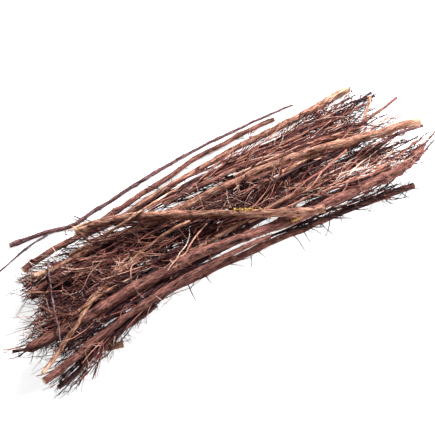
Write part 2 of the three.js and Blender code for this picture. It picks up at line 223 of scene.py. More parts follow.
BARKS = {
    "red_bark": bark_material("red_bark", "180505", "6c3a32", "b27e6e", "c09280", 0.32),
    "orange_bark": bark_material("orange_bark", "230a06", "935741", "dcae96", "d8aa8a", 0.38),
    "dark_bark": bark_material("dark_bark", "12050a", "5c3236", "b08482", "a07a6c", 0.34),
    "tan_bark": bark_material("tan_bark", "34140c", "985c40", "e4ba9c", "ecd2b6", 0.4),
    "grey_bark": bark_material("grey_bark", "140a10", "60444c", "b09a9a", "a08a82", 0.36),
}
print("barks:", ", ".join(BARKS))

# %% [markdown]
# ## Cut wood and thin bark
# A cut end shows pale wood with faint growth rings, dirty towards the bark. The fine twigs have a
# thin smooth bark, and each twig has one tone, from nearly black through red-brown to straw, which
# comes with it as `shade`, darkened by painted shade where the twig lies deep in the heap. A shade
# past the pale end of that range marks a flake of yellow lichen.


# %% Cut wood and twig materials
def cut_wood_material():
    material, wire, shader = new_material("cut_wood")
    grain = attribute(wire, "grain", "Vector")
    flat = wire.vector("MULTIPLY", grain, (1.0, 1.0, 0.0))
    from_pith = wire.node("ShaderNodeVectorMath", {"operation": "LENGTH"}, {0: flat}, "Value")
    rings = wire.math("SINE", from_pith * 7.0 + wire.noise(flat, 0.6) * 5.0)
    wood = wire.blend(rings * 0.25 + 0.3, colour("d8b593"), colour("a87a58"))
    dirt = wire.noise(grain, 0.9, 4.0).step(0.45, 0.75)
    dirty = wire.blend(dirt * 0.7, wood, colour("6a4434"))
    wire.feed(shader.inputs["Base Color"], dirty)
    shader.inputs["Roughness"].default_value = 0.8
    return material


TWIG_TONES = [
    (0.0, colour("0e0406")),
    (0.22, colour("38181a")),
    (0.42, colour("78403a")),
    (0.6, colour("b07660")),
    (0.8, colour("dcb09a")),
    (1.0, colour("f6e4d4")),
]
LICHEN_TONE = 1.5


def twig_material():
    material, wire, shader = new_material("twig_bark")
    shade = attribute(wire, "shade", "Fac")
    place = wire.node("ShaderNodeTexCoord", {}, {}, "Object")
    mottle = wire.noise(place, 420.0, 3.0, 0.6)
    mottled = shade + (mottle - 0.5) * 0.35
    tone = wire.node("ShaderNodeValToRGB", {"stops": TWIG_TONES}, {"Fac": mottled})
    lichen = shade.step(LICHEN_TONE - 0.3, LICHEN_TONE - 0.2)
    wire.feed(shader.inputs["Base Color"], wire.blend(lichen, tone, colour("bd9650")))
    wire.feed(shader.inputs["Roughness"], 0.75 - mottle * 0.3)
    shader.inputs["Specular IOR Level"].default_value = DULL_SHINE
    bump = wire.node("ShaderNodeBump", {}, {"Strength": 0.4, "Distance": 0.2 * MM, "Height": mottle})
    wire.feed(shader.inputs["Normal"], bump)
    return material


CUT_WOOD = cut_wood_material()
TWIG_BARK = twig_material()
print("finishes:", CUT_WOOD.name, TWIG_BARK.name)

# %% [markdown]
# ## Reading a stick's route
# A stick's solid is a row of six-sided rings. Sorted along the stick, every six corners are one
# ring, so their middles give the route and their distance from it the thickness. A smooth curve
# through the middles, with a little wander, takes the stiffness out of it.

# %% Stick routes
RING_SIDES = 6
CURVE_STEPS = 12
ROUTE_STEP = 2.5 * MM
STICK_WANDER = 0.35 * MM
STICK_WANDER_EVERY = 14 * MM
SPRAYS = sorted(n for n in frame["nodes"] if "spray" in n or n == "forked_twig")
STICKS = sorted(set(frame["nodes"]) - set(SPRAYS))
HIDDEN = ("ground", "inner")


def unit(vectors):
    return vectors / np.maximum(np.linalg.norm(vectors, axis=-1, keepdims=True), 1e-9)


def triangles(node):
    """The triangles of a solid, each as its three corners."""
    mesh = frame["nodes"][node].data
    mesh.calc_loop_triangles()
    places = np.array([v.co for v in mesh.vertices])
    return np.array([places[list(t.vertices)] for t in mesh.loop_triangles])


def long_axis(points):
    """The way in which the points reach furthest."""
    return np.linalg.svd(points - points.mean(0), full_matrices=False)[2][0]


def stick_rings(node):
    """The middles and radii of a stick's rings, from left to right."""
    corners = np.unique(triangles(node).reshape(-1, 3).round(6), axis=0)
    order = np.argsort(corners @ long_axis(corners))
    rings = corners[order].reshape(-1, RING_SIDES, 3)
    middles = rings.mean(1)
    radii = np.linalg.norm(rings - middles[:, None], axis=2).mean(1)
    if middles[0, 0] > middles[-1, 0]:
        return middles[::-1], radii[::-1]
    return middles, radii


def run_along(route):
    """The distance of every point from the start, along the route."""
    return np.concatenate([[0], np.cumsum(np.linalg.norm(np.diff(route, axis=0), axis=1))])


def smooth_route(points, radii, step):
    """A Catmull-Rom curve through the points, with even steps along it."""
    padded = np.vstack([2 * points[0] - points[1], points, 2 * points[-1] - points[-2]])
    curve = []
    for a, b, c, d in zip(padded, padded[1:], padded[2:], padded[3:]):
        for u in np.linspace(0, 1, CURVE_STEPS, endpoint=False):
            bend = (2 * a - 5 * b + 4 * c - d) * u**2 + (3 * b - a - 3 * c + d) * u**3
            curve.append(0.5 * (2 * b + (c - a) * u + bend))
    curve = np.array(curve + [points[-1]])
    run = run_along(curve)
    even = np.linspace(0, run[-1], max(4, int(run[-1] / step)))
    route = np.column_stack([np.interp(even, run, curve[:, k]) for k in range(3)])
    return route, np.interp(even, run[::CURVE_STEPS], radii)


def wander(route, amount, spacing):
    """Pushes a route gently from side to side."""
    run = run_along(route)
    marks = np.arange(0, run[-1] + spacing, spacing)
    moved = route.copy()
    for k in range(3):
        moved[:, k] += np.interp(run, marks, chance.normal(0, amount, len(marks)))
    return moved


stick_routes = {}
for node in STICKS:
    route, radii = smooth_route(*stick_rings(node), ROUTE_STEP)
    stick_routes[node] = (wander(route, STICK_WANDER, STICK_WANDER_EVERY), radii)
longest = max(run_along(route)[-1] for route, _ in stick_routes.values())
print("sticks:", len(STICKS), "longest", round(longest, 3), "m")

# %% [markdown]
# ## Reading a spray's strands
# A spray's solid forks, so rings don't sort it out. Instead it is cut like a loaf: every slice
# shows one small loop for each strand, and loops that lie close together in two neighbouring slices
# belong to the same strand. A loop that finds its neighbour already taken is a new side twig, and
# starts inside the strand that it grew from.

# %% Spray strands
FIRST_SLICE = 1 * MM
SLICE_STEP = 5 * MM
STRAND_GAP = 6 * MM
STRAND_STEP = 4 * MM
FEWEST_LOOPS = 4
MANY_LOOPS = 7


def slice_loops(corners, heights, level):
    """The middle and radius of every loop where a level cuts the triangles."""
    owner = {}

    def root(key):
        while owner[key] != key:
            key = owner[key]
        return key

    cuts = []
    crossing = (heights.min(1) < level) & (heights.max(1) >= level)
    for tri, high in zip(corners[crossing], heights[crossing]):
        ends = []
        for a, b in ((0, 1), (1, 2), (2, 0)):
            if (high[a] < level) != (high[b] < level):
                low, top = (a, b) if high[a] < high[b] else (b, a)
                u = (level - high[low]) / (high[top] - high[low])
                ends.append(tri[low] + (tri[top] - tri[low]) * u)
        keys = [tuple(e.round(7)) for e in ends]
        for key in keys:
            owner.setdefault(key, key)
        owner[root(keys[0])] = root(keys[1])
        cuts.append((keys[0], ends))
    groups = {}
    for key, ends in cuts:
        groups.setdefault(root(key), []).extend(ends)
    loops = []
    for points in groups.values():
        points = np.array(points)
        middle = points.mean(0)
        loops.append((middle, np.linalg.norm(points - middle, axis=1).mean()))
    return sorted(loops, key=lambda loop: -loop[1])


def linked(rows):
    """Links the loops of neighbouring slices into strands."""
    strands = []
    growing = []
    for before, row in zip([[]] + rows, rows):
        now = []
        taken = set()
        for middle, radius in row:
            gaps = [np.linalg.norm(middle - m) for m, _ in before]
            i = int(np.argmin(gaps)) if gaps and min(gaps) <= STRAND_GAP else None
            if i is not None and i not in taken:
                strand = growing[i]
                taken.add(i)
            else:
                strand = [] if i is None else [(before[i][0], radius)]
                strands.append(strand)
            strand.append((middle, radius))
            now.append(strand)
        growing = now
    return strands


def spray_strands(node):
    """The strands of a spray, each as its points and radii, from the butt to the tip."""
    corners = triangles(node)
    heights = corners @ long_axis(corners.reshape(-1, 3))
    levels = np.arange(heights.min() + FIRST_SLICE, heights.max(), SLICE_STEP)
    rows = [slice_loops(corners, heights, level) for level in levels]
    half = len(rows) // 2
    if sum(map(len, rows[:half])) > sum(map(len, rows[half:])):
        rows.reverse()
    strands = []
    for strand in linked(rows):
        if len(strand) >= FEWEST_LOOPS:
            every = 2 if len(strand) >= MANY_LOOPS else 1
            points, radii = (np.array(part)[::every] for part in zip(*strand))
            strands.append(smooth_route(points, radii, STRAND_STEP))
    return strands


strands_of = {node: spray_strands(node) for node in SPRAYS}
print("strands:", {node: len(s) for node, s in strands_of.items()})

# %% [markdown]
# ## Growing the fine twigs
# Each strand carries branchlets, each branchlet fine twigs, and those end in hairs. All twigs of
# one order grow together, a step at a time. A step follows the last one, bends a little by chance
# and a little towards the strand, and is pushed out of any stick that it would enter, so twigs
# slide along sticks as they do in a real bundle.

# %% Keep clear of sticks
GROUND_GAP = 0.3 * MM
STICK_GAP = 0.3 * MM
BATCH = 800
EDGE_ROOM = 9 * MM
TOP_ROOM = 0.5 * MM
stick_points = np.vstack([route for route, _ in stick_routes.values()])
stick_radii = np.concatenate([radii for _, radii in stick_routes.values()])
strand_points = np.vstack([route for strands in strands_of.values() for route, _ in strands])
low_corner = np.array(cad_box[0]) - EDGE_ROOM
high_corner = np.array(cad_box[1]) + (EDGE_ROOM, EDGE_ROOM, TOP_ROOM)


def nearest_of(points, targets, radii):
    """The nearest of the targets to every point, and the gap to its surface."""
    nearest = np.empty(len(points), int)
    gap = np.empty(len(points))
    for rows in np.array_split(np.arange(len(points)), max(1, len(points) // BATCH)):
        part = points[rows]
        squares = (part**2).sum(1)[:, None] + (targets**2).sum(1) - 2 * part @ targets.T
        gaps = np.sqrt(np.maximum(squares, 1e-12)) - radii
        nearest[rows] = gaps.argmin(1)
        gap[rows] = gaps[np.arange(len(rows)), nearest[rows]]
    return nearest, gap


def clear_of_sticks(points, thick):
    """Moves points out of the sticks and up from the ground, and gives their gap to a stick."""
    nearest, gap = nearest_of(points, stick_points, stick_radii)
    away = unit(points - stick_points[nearest])
    moved = points + away * np.maximum(thick + STICK_GAP - gap, 0)[:, None]
    moved[:, 2] = np.maximum(moved[:, 2], thick + GROUND_GAP)
    return moved, gap


print("points to keep clear of:", len(stick_points))

# %% [markdown]
# ## One step after another
# A twig ends where it would stray from the bundle, and thins towards its tip. Its tone carries
# painted shade by depth: a twig far below the sticks' tops around it is darker than one that lies
# on them, because little light gets deep into a heap, and one above them is a little lighter.

# %% Growth
KNOBBLE = 0.12
TIP_SHARE = 0.5
# Painted shade and light by depth: the least and the most of its tone that a twig keeps.
DEEPEST_PAINTED_SHADE = 0.2
TOP_PAINTED_LIGHT = 1.15
HEAP_CELL = 24 * MM
HEAP_CELLS = (40, 20)
LOWEST_HEAP = 15 * MM


def heap_cell(points):
    """The square of the ground that each point is over."""
    return tuple(((points - low_corner)[..., :2] // HEAP_CELL).astype(int).T)


heap_height = np.full(HEAP_CELLS, LOWEST_HEAP)
np.maximum.at(heap_height, heap_cell(stick_points), stick_points[:, 2])


def painted_depth_shade(path):
    """The painted shade of a twig at its depth in the heap: the share of its tone that it keeps."""
    return np.clip((path[:, 2] / heap_height[heap_cell(path)]).mean(), DEEPEST_PAINTED_SHADE, TOP_PAINTED_LIGHT)


def grow(starts, headings, leads, lengths, thick, tones, rule):
    """Grows many twigs at once. Each is its points, its radii and its tone."""
    steps = rule["steps"]
    paths = np.empty((len(starts), steps + 1, 3))
    paths[:, 0] = starts
    ends = np.full(len(starts), steps + 1)
    stride = (lengths / steps)[:, None]
    heading = headings
    curl = chance.normal(0, rule["curl"], heading.shape)
    for i in range(steps):
        bend = chance.normal(0, rule["bend"], heading.shape)
        heading = unit(heading + curl + bend + rule["pull"] * leads)
        reached, gap = clear_of_sticks(paths[:, i] + heading * stride, thick)
        heading = unit(reached - paths[:, i])
        paths[:, i + 1] = reached
        gap = np.minimum(gap, nearest_of(reached, strand_points, 0.0)[1])
        outside = ((reached < low_corner) | (reached > high_corner)).any(1)
        strays = (gap > rule["reach"] * MM) | outside
        ends = np.where(strays & (ends > steps), i + 1, ends)
    grown = []
    for path, end, stout, tone in zip(paths, ends, thick, tones):
        if end > 2:
            knobbly = 1 + chance.normal(0, KNOBBLE, end)
            radii = stout * np.linspace(1, TIP_SHARE, end) * knobbly
            # The tone gets painted shade by the twig's depth in the heap.
            grown.append((path[:end], radii, tone * painted_depth_shade(path[:end])))
    return grown


print("highest heap:", round(heap_height.max() / MM), "mm")

# %% [markdown]
# ## Orders of twigs
# A twig's order sets how often it comes, its length, thickness and lean. Every parent gets twigs at
# random places, and each twig takes a tone between its parent's and one drawn by chance, with a few
# pale dead ones among them.

# %% Orders
ORDERS = {
    "branchlet": dict(
        every=24, where=(0.05, 0.95), length=(50, 140), thick=(0.5, 1.1), lean=(6, 26),
        steps=16, bend=0.05, curl=0.035, pull=0.05, reach=8, pale=0.015,
    ),
    "fine": dict(
        every=18, where=(0.1, 0.98), length=(15, 55), thick=(0.3, 0.5), lean=(10, 45),
        steps=9, bend=0.1, curl=0.07, pull=0.03, reach=11,
    ),
    "hair": dict(
        every=26, where=(0.1, 1.0), length=(6, 24), thick=(0.17, 0.26), lean=(20, 85),
        steps=6, bend=0.2, curl=0.12, pull=0.0, reach=15,
    ),
    "curly": dict(
        every=24, where=(0.05, 0.95), length=(16, 38), thick=(0.2, 0.3), lean=(25, 100),
        steps=9, bend=0.22, curl=0.2, pull=0.0, reach=12,
    ),
    "wisp": dict(
        every=16, where=(0.72, 1.0), length=(14, 40), thick=(0.28, 0.42), lean=(15, 115),
        steps=8, bend=0.06, curl=0.08, pull=0.0, reach=30,
    ),
    "shred": dict(
        every=7, where=(0.02, 0.98), length=(5, 20), thick=(0.14, 0.26), lean=(4, 16),
        steps=5, bend=0.08, curl=0.06, pull=0.1, reach=8,
    ),
}
TONE_SPREAD = [0.0, 0.03, 0.07, 0.12, 0.2, 0.32, 0.44, 0.54, 0.64, 0.78]
PALE_SHARE = 0.07
PALE_TONES = (0.72, 0.98)
PARENT_SHARE = 0.3
ROOTED = 0.9


def tangents(route):
    return unit(np.gradient(route, axis=0))


def across(direction, angle):
    """A direction square to the given one, turned round it by an angle."""
    side = unit(np.cross(direction, (0.0, 0.0, 1.0)))
    return side * math.cos(angle) + np.cross(direction, side) * math.sin(angle)


def own_tone(tone, pale_share):
    if chance.uniform() < pale_share:
        return chance.uniform(*PALE_TONES)
    return PARENT_SHARE * tone + (1 - PARENT_SHARE) * chance.choice(TONE_SPREAD)


def twigs_on(parents, order, crowd=1.0):
    """Grows one order of twigs on the parents. Each twig is its points, its radii and its tone."""
    rule = ORDERS[order]
    starts, headings, leads, tones = [], [], [], []
    for points, radii, tone in parents:
        run = run_along(points)
        heading = tangents(points)
        part = rule["where"][1] - rule["where"][0]
        for _ in range(chance.poisson(crowd * part * run[-1] / MM / rule["every"])):
            i = int(np.searchsorted(run, run[-1] * chance.uniform(*rule["where"])))
            lean = math.radians(chance.uniform(*rule["lean"]))
            side = across(heading[i], chance.uniform(0, math.tau))
            starts.append(points[i] + side * radii[i] * ROOTED)
            headings.append(heading[i] * math.cos(lean) + side * math.sin(lean))
            leads.append(heading[i])
            tones.append(own_tone(tone, rule.get("pale", PALE_SHARE)))
    count = len(starts)
    lengths = chance.uniform(*rule["length"], count) * MM
    thick = chance.uniform(*rule["thick"], count) * MM
    return grow(np.array(starts), np.array(headings), np.array(leads), lengths, thick, tones, rule)


print("orders:", ", ".join(ORDERS))

# %% [markdown]
# ## Twig tubes
# The twigs are far too many to shape one by one, so one small Geometry Nodes tree sweeps all routes
# of a spray: the stout ones with six sides, and the fine ones with three, which is enough for a
# twig as thin as a pencil lead.


# %% Twig tube tree
def new_shape_tree(name, inputs):
    """A Geometry Nodes tree with named inputs, as a list of name, type and value."""
    tree = bpy.data.node_groups.new(name, "GeometryNodeTree")
    tree.interface.new_socket("Geometry", in_out="INPUT", socket_type="NodeSocketGeometry")
    tree.interface.new_socket("Geometry", in_out="OUTPUT", socket_type="NodeSocketGeometry")
    for label, kind, value in inputs:
        socket = tree.interface.new_socket(label, in_out="INPUT", socket_type=kind)
        if value is not None:
            socket.default_value = value
    start = tree.nodes.new("NodeGroupInput")
    given = {s.name: Wire(tree, s) for s in start.outputs if s.name}
    return tree, Wire(tree), given


def end_tree(wire, geometry):
    done = wire.tree.nodes.new("NodeGroupOutput")
    wire.feed(done.inputs[0], geometry)


def named(wire, name, kind="FLOAT"):
    return wire.node("GeometryNodeInputNamedAttribute", {"data_type": kind}, {"Name": name})


def store(wire, geometry, name, value, kind="FLOAT"):
    settings = {"data_type": kind, "domain": "POINT"}
    return wire.node("GeometryNodeStoreNamedAttribute", settings, {0: geometry, "Name": name, "Value": value})


def join(wire, first, second):
    joined = wire.node("GeometryNodeJoinGeometry", {}, {"Geometry": first})
    wire.feed(joined.socket.node.inputs[0], second)
    return joined


def paint(wire, geometry, material, selection=True):
    inputs = {"Geometry": geometry, "Selection": selection, "Material": material}
    return wire.node("GeometryNodeSetMaterial", {}, inputs)


def parted_by_girth(wire, geometry, girth, domain):
    """Parts the routes whose thickest place is above a girth from the others."""
    stout = wire.math("GREATER_THAN", named(wire, "girth"), girth)
    inputs = {"Geometry": geometry, "Selection": stout}
    parted = wire.node("GeometryNodeSeparateGeometry", {"domain": domain}, inputs)
    return parted, parted.also("Inverted")


def round_profile(wire, sides):
    return wire.node("GeometryNodeCurvePrimitiveCircle", {}, {"Resolution": sides, "Radius": 1.0})


def swept_tube(wire, route, profile, thick):
    """A closed tube along a route."""
    inputs = {"Curve": route, "Profile Curve": profile, "Scale": thick, "Fill Caps": True}
    return wire.node("GeometryNodeCurveToMesh", {}, inputs)


def twig_tube_tree():
    tree, wire, given = new_shape_tree(
        "twig_tube",
        [
            ("Stout Sides", "NodeSocketInt", 6),
            ("Fine Sides", "NodeSocketInt", 3),
            ("Stout From", "NodeSocketFloat", 0.52 * MM),
            ("Twig Bark", "NodeSocketMaterial", None),
        ],
    )
    curve = wire.node("GeometryNodeMeshToCurve", {}, {"Mesh": given["Geometry"]})
    parts = parted_by_girth(wire, curve, given["Stout From"], "CURVE")
    tubes = [
        swept_tube(wire, part, round_profile(wire, given[sides]), named(wire, "thick"))
        for part, sides in zip(parts, ("Stout Sides", "Fine Sides"))
    ]
    whole = wire.node("GeometryNodeRealizeInstances", {}, {"Geometry": join(wire, *tubes)})
    end_tree(wire, paint(wire, whole, given["Twig Bark"]))
    return tree


TWIG_TUBE = twig_tube_tree()
print("tree inputs:", [i.name for i in TWIG_TUBE.interface.items_tree if i.in_out == "INPUT"])

# %% [markdown]
# ## The tube with bark
# A second tree turns a stick's route into a tube. It steps along the route, sweeps a circle of the
# stick's own thickness, and pushes the surface in and out by a noise that is stretched along the
# grain, which gives real ridges and grooves. The end faces are the only ones with more than four
# corners, and get the cut wood. Whatever thin grows on the stick goes through the twig tree.

# %% Bark tube tree
GRAIN_STRETCH = 9.0
GRAIN_TURN = 0.007
SWELL_EVERY = 17.0
NO_LIMIT = -9.0


def bark_tube_tree():
    tree, wire, given = new_shape_tree(
        "bark_tube",
        [
            ("Sides", "NodeSocketInt", 22),
            ("Ring Step", "NodeSocketFloat", 1.8 * MM),
            ("Bark From", "NodeSocketFloat", 0.9 * MM),
            ("Swell", "NodeSocketFloat", 0.1),
            ("Groove Depth", "NodeSocketFloat", 0.18),
            ("Lump Depth", "NodeSocketFloat", 0.16),
            ("Seed", "NodeSocketFloat", 0.0),
            ("Bark", "NodeSocketMaterial", None),
            ("Cut Wood", "NodeSocketMaterial", None),
            ("Twig Bark", "NodeSocketMaterial", None),
        ],
    )
    thick_part, thin_part = parted_by_girth(wire, given["Geometry"], given["Bark From"], "POINT")
    tube = swept_bark(wire, thick_part, given)
    tube = ridged(wire, tube, given)
    whole = wire.node("GeometryNodeRealizeInstances", {}, {"Geometry": tube})
    end_face = wire.node("GeometryNodeInputMeshFaceNeighbors", {}, {}, "Vertex Count")
    barked = paint(wire, whole, given["Bark"])
    cut = paint(wire, barked, given["Cut Wood"], wire.math("GREATER_THAN", end_face, 4.0))
    thin_inputs = {"Geometry": thin_part, "Twig Bark": given["Twig Bark"]}
    thin = wire.node("GeometryNodeGroup", {"node_tree": TWIG_TUBE}, thin_inputs)
    end_tree(wire, join(wire, cut, thin))
    return tree


def swept_bark(wire, routes, given):
    """A tube along the routes, with its place round and along the stick stored as grain."""
    curve = wire.node("GeometryNodeMeshToCurve", {}, {"Mesh": routes})
    stepped = {"Curve": curve, "Length": given["Ring Step"]}
    curve = wire.node("GeometryNodeResampleCurve", {"mode": "LENGTH"}, stepped)
    along = wire.node("GeometryNodeSplineParameter", {}, {}, "Length") / MM
    curve = store(wire, curve, "along", along)
    circle = round_profile(wire, given["Sides"])
    turn = wire.node("GeometryNodeSplineParameter", {}, {}, "Factor")
    circle = store(wire, circle, "turn", turn * math.tau)
    spot = wire.node("ShaderNodeCombineXYZ", {}, {"X": along / SWELL_EVERY, "Y": given["Seed"]})
    swollen = 1 + given["Swell"] * 2 * (wire.noise(spot, 1.0, 1.0) - 0.5)
    tube = swept_tube(wire, curve, circle, named(wire, "thick") * swollen)
    run = named(wire, "along")
    angle = named(wire, "turn") + run * GRAIN_TURN
    out = named(wire, "thick") / MM
    place = {
        "X": wire.math("COSINE", angle) * out + given["Seed"],
        "Y": wire.math("SINE", angle) * out,
        "Z": run / GRAIN_STRETCH,
    }
    return store(wire, tube, "grain", wire.node("ShaderNodeCombineXYZ", {}, place), "FLOAT_VECTOR")


def ridged(wire, tube, given):
    """Pushes the tube's surface in and out along its grain, and stores the height as ridge."""
    grain = named(wire, "grain", "FLOAT_VECTOR")
    fold = wire.noise(grain, 0.6, 3.0, 0.6)
    tube = store(wire, tube, "ridge", wire.math("MAXIMUM", 1 - abs(fold * 2 - 1) * 2.2, 0.0))
    lump = stretched_noise(grain, (0.16, 0.16, 1.2), 1.0) - 0.5
    depth = given["Groove Depth"] * (named(wire, "ridge") - 0.6) + given["Lump Depth"] * 2 * lump
    normal = wire.node("GeometryNodeInputNormal")
    offset = {0: normal, "Scale": named(wire, "thick") * depth}
    push = wire.node("ShaderNodeVectorMath", {"operation": "SCALE"}, offset)
    tube = wire.node("GeometryNodeSetPosition", {}, {"Geometry": tube, "Offset": push})
    on_ground = wire.vector("MAXIMUM", wire.node("GeometryNodeInputPosition"), (NO_LIMIT, NO_LIMIT, 0.0))
    return wire.node("GeometryNodeSetPosition", {}, {"Geometry": tube, "Position": on_ground})


BARK_TUBE = bark_tube_tree()
print("tree inputs:", [i.name for i in BARK_TUBE.interface.items_tree if i.in_out == "INPUT"])

# %% [markdown]
# ## From routes to a finished piece
# The routes of one piece go into a mesh that has only edges, with the thickness and tone stored on
# its points. The tree runs on it once, and what it makes is kept as a plain mesh, so no modifier is
# left on the finished piece.

# %% Routes to mesh
SLOT_OF = {s["node"]: s["material_slot"] for s in frame["record"]["subparts"]}


def route_object(name, routes):
    """Joins routes into one object of edges. A route is its points, its radii and its tone."""
    edges = []
    first = 0
    for points, _, _ in routes:
        edges += [(first + i, first + i + 1) for i in range(len(points) - 1)]
        first += len(points)
    mesh = bpy.data.meshes.new(name + "_routes")
    mesh.from_pydata(np.vstack([points for points, _, _ in routes]).tolist(), edges, [])
    values = {
        "thick": [radii for _, radii, _ in routes],
        "girth": [np.full(len(points), radii.max()) for points, radii, _ in routes],
        "shade": [np.broadcast_to(tone, len(points)) for points, _, tone in routes],
    }
    for label, parts in values.items():
        mesh.attributes.new(label, "FLOAT", "POINT").data.foreach_set("value", np.concatenate(parts))
    made = bpy.data.objects.new(name, mesh)
    bpy.context.scene.collection.objects.link(made)
    return made


def shaped(made, tree, values):
    """Runs a tree on an object, with its inputs set by name, and keeps the result as a plain mesh."""
    modifier = made.modifiers.new("shape", "NODES")
    modifier.node_group = tree
    for item in tree.interface.items_tree:
        if item.in_out == "INPUT" and item.name in values:
            modifier[item.identifier] = values[item.name]
    graph = bpy.context.evaluated_depsgraph_get()
    routes = made.data
    made.data = bpy.data.meshes.new_from_object(made.evaluated_get(graph))
    made.modifiers.clear()
    bpy.data.meshes.remove(routes)
    return made


def hand_over(piece, node):
    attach(piece, "root")
    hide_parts(node)


def triangle_count(piece):
    return sum(len(face.vertices) - 2 for face in piece.data.polygons)


print("slots in use:", sorted(set(SLOT_OF.values())))

# %% [markdown]
# ## Knots and broken ends
# Where a side twig was torn off, a stick swells into a knot and keeps a short stub. The front stick
# snapped at its butt, where a thin splinter is left, and its other end thins in steps to a twig.
# All of these grow out of the stick, so they belong to its mesh.

# %% Knots and ends
KNOT_SPACING = 80 * MM
KNOT_SWELL = 0.22
KNOT_LENGTH = 4 * MM
SEEN_KNOTS = {"far_thin_stick": [0.28], "front_stick": [0.81, 0.85, 0.88, 0.905, 0.925]}
BUTT_LENGTH = 30
SPLINTER_STEPS = ((12, 16), (0.28, 1.0))
TIP_FROM = 60
TIP_STEPS = ((0, 25, 31, 36, 45), (0.2, 0.27, 0.5, 0.85, 1.0))
BARE_LENGTH = 7 * MM


def knots_of(node, run):
    chosen = [share * run[-1] for share in SEEN_KNOTS.get(node, [])]
    marks = np.arange(0.5, run[-1] / KNOT_SPACING, 1.0)
    return chosen + [KNOT_SPACING * (mark + chance.uniform(-0.4, 0.4)) for mark in marks]


def with_knots(node, route, radii, tone):
    """Swells a stick at its knots, and gives the stubs that stand on them."""
    run = run_along(route)
    grows = 1.0 if radii[: len(radii) // 2].sum() > radii[len(radii) // 2 :].sum() else -1.0
    heading = tangents(route) * grows
    stubs = []
    swollen = radii.copy()
    for at in knots_of(node, run):
        i = int(np.clip(np.searchsorted(run, at), 1, len(run) - 2))
        swollen *= 1 + KNOT_SWELL * chance.uniform(0.5, 1.3) * np.exp(-(((run - at) / KNOT_LENGTH) ** 2))
        lean = unit(heading[i] * chance.uniform(0.5, 1.2) + across(heading[i], chance.uniform(0, math.tau)))
        steps = np.linspace(0, radii[i] * chance.uniform(1.4, 2.6), 5)[:, None]
        stub = np.maximum(route[i] + lean * steps, (NO_LIMIT, NO_LIMIT, MM))
        stubs.append((stub, np.linspace(0.34, 0.2, 5) * min(radii[i], 2.5 * MM), tone))
    return swollen, stubs


def broken_front_stick(route, radii):
    """Thins the butt to a splinter and the tip to a twig, by steps in millimetres from each end."""
    run = run_along(route) / MM
    left = run.max() - run
    butt = np.maximum(radii, radii[len(radii) // 12]) * np.interp(run, *SPLINTER_STEPS)
    full = radii[np.searchsorted(-left, -TIP_FROM)]
    tip = full * np.interp(left, *TIP_STEPS)
    return np.where(run < BUTT_LENGTH, butt, np.where(left < TIP_STEPS[0][-1], tip, radii))


def bareness(route, torn):
    """How far the bark is gone: most at a torn end of a stick, and none along it."""
    run = run_along(route)
    gone = np.zeros(len(route))
    for end in torn:
        gone += np.exp(-abs(run - run[end]) / BARE_LENGTH)
    return gone


print("knots by eye:", SEEN_KNOTS)

# %% [markdown]
# ## Frayed ends, lichen and loose hairs
# Some sticks end in pale fibres where they were torn, and two have a tuft of yellow lichen, each
# given by its share of the stick's length, its side and its spread. Loose hairs hang out below the
# near edge. Each is given by its share of the stick's length, the way it points in the picture, in
# degrees, and its length in millimetres.

# %% Thin growth on sticks
FIBRES = 14
FRAYED = {
    "far_stick_2": [-1],
    "ridge_stick": [0, -1],
    "diagonal_stick": [0],
    "pale_cut_stick": [-1],
    "left_red_stick": [0],
}
LOOSE_HAIRS = [
    (0.33, 75, 25), (0.38, 60, 9), (0.51, 80, 16), (0.53, 95, 14), (0.63, 37, 27),
    (0.67, 80, 16), (0.68, 20, 10), (0.72, 60, 17), (0.75, 125, 22), (0.96, 150, 11), (0.98, 165, 9),
]
HAIR_THICK = 0.6 * MM
HAIR_RULE = dict(ORDERS["wisp"], bend=0.04, curl=0.03)
FLAKES = 26
FLAKE_RADII = np.array([0.5, 0.8, 0.4]) * MM
LICHEN = {"diagonal_stick": (0.69, 0.5, 2.5), "front_stick": (0.6, -0.8, 1.2)}
# Right and down in the picture, as ways along the ground.
PICTURE_RIGHT = np.array([0.866, -0.5, 0.0])
PICTURE_DOWN = np.array([-0.653, -1.131, 0.0])


def frayed_end(route, radii, end):
    """Fine pale fibres that stand out of a torn end."""
    ahead = tangents(route)[end] * (1 if end else -1)
    starts = route[end] + chance.normal(0, 0.45, (FIBRES, 3)) * radii[end]
    headings = unit(ahead + chance.normal(0, 0.25, (FIBRES, 3)))
    lengths = chance.uniform(4, 17, FIBRES) * MM
    thick = chance.uniform(0.14, 0.3, FIBRES) * MM
    tones = chance.uniform(0.5, 0.95, FIBRES)
    return grow(starts, headings, headings, lengths, thick, tones, ORDERS["shred"])


def lichen_tuft(route, radii, share, side, spread):
    """Small yellow flakes on one side of a stick."""
    tuft = []
    for _ in range(FLAKES):
        i = int(share * (len(route) - 1) + chance.normal(0, spread))
        spot = route[i] + unit(np.array([0.0, side, 1.0])) * radii[i] * chance.uniform(0.9, 1.5)
        ahead = unit(chance.normal(0, 1, 3)) * chance.uniform(2, 5) * MM
        tuft.append((spot + ahead * np.linspace(-0.5, 0.5, 3)[:, None], FLAKE_RADII, LICHEN_TONE))
    return tuft


def loose_hairs(route, radii):
    shares, angles, lengths = np.array(LOOSE_HAIRS, float).T
    at = (shares * (len(route) - 1)).astype(int)
    angles = np.radians(angles)[:, None]
    headings = unit(np.cos(angles) * PICTURE_RIGHT + np.sin(angles) * PICTURE_DOWN)
    thick = np.full(len(at), HAIR_THICK)
    tones = chance.uniform(0.0, 0.25, len(at))
    return grow(route[at], headings, headings, lengths * MM + radii[at], thick, tones, HAIR_RULE)


print("loose hairs:", len(LOOSE_HAIRS), "and lichen on:", ", ".join(LICHEN))

# %% [markdown]
# ## The sticks
# Bark peels off in thin shreds that lie along the stick, and a few sticks still carry side twigs.
# All of it joins the stick's route in one mesh. Hidden and thin sticks take fewer sides, because
# nobody can see the difference.

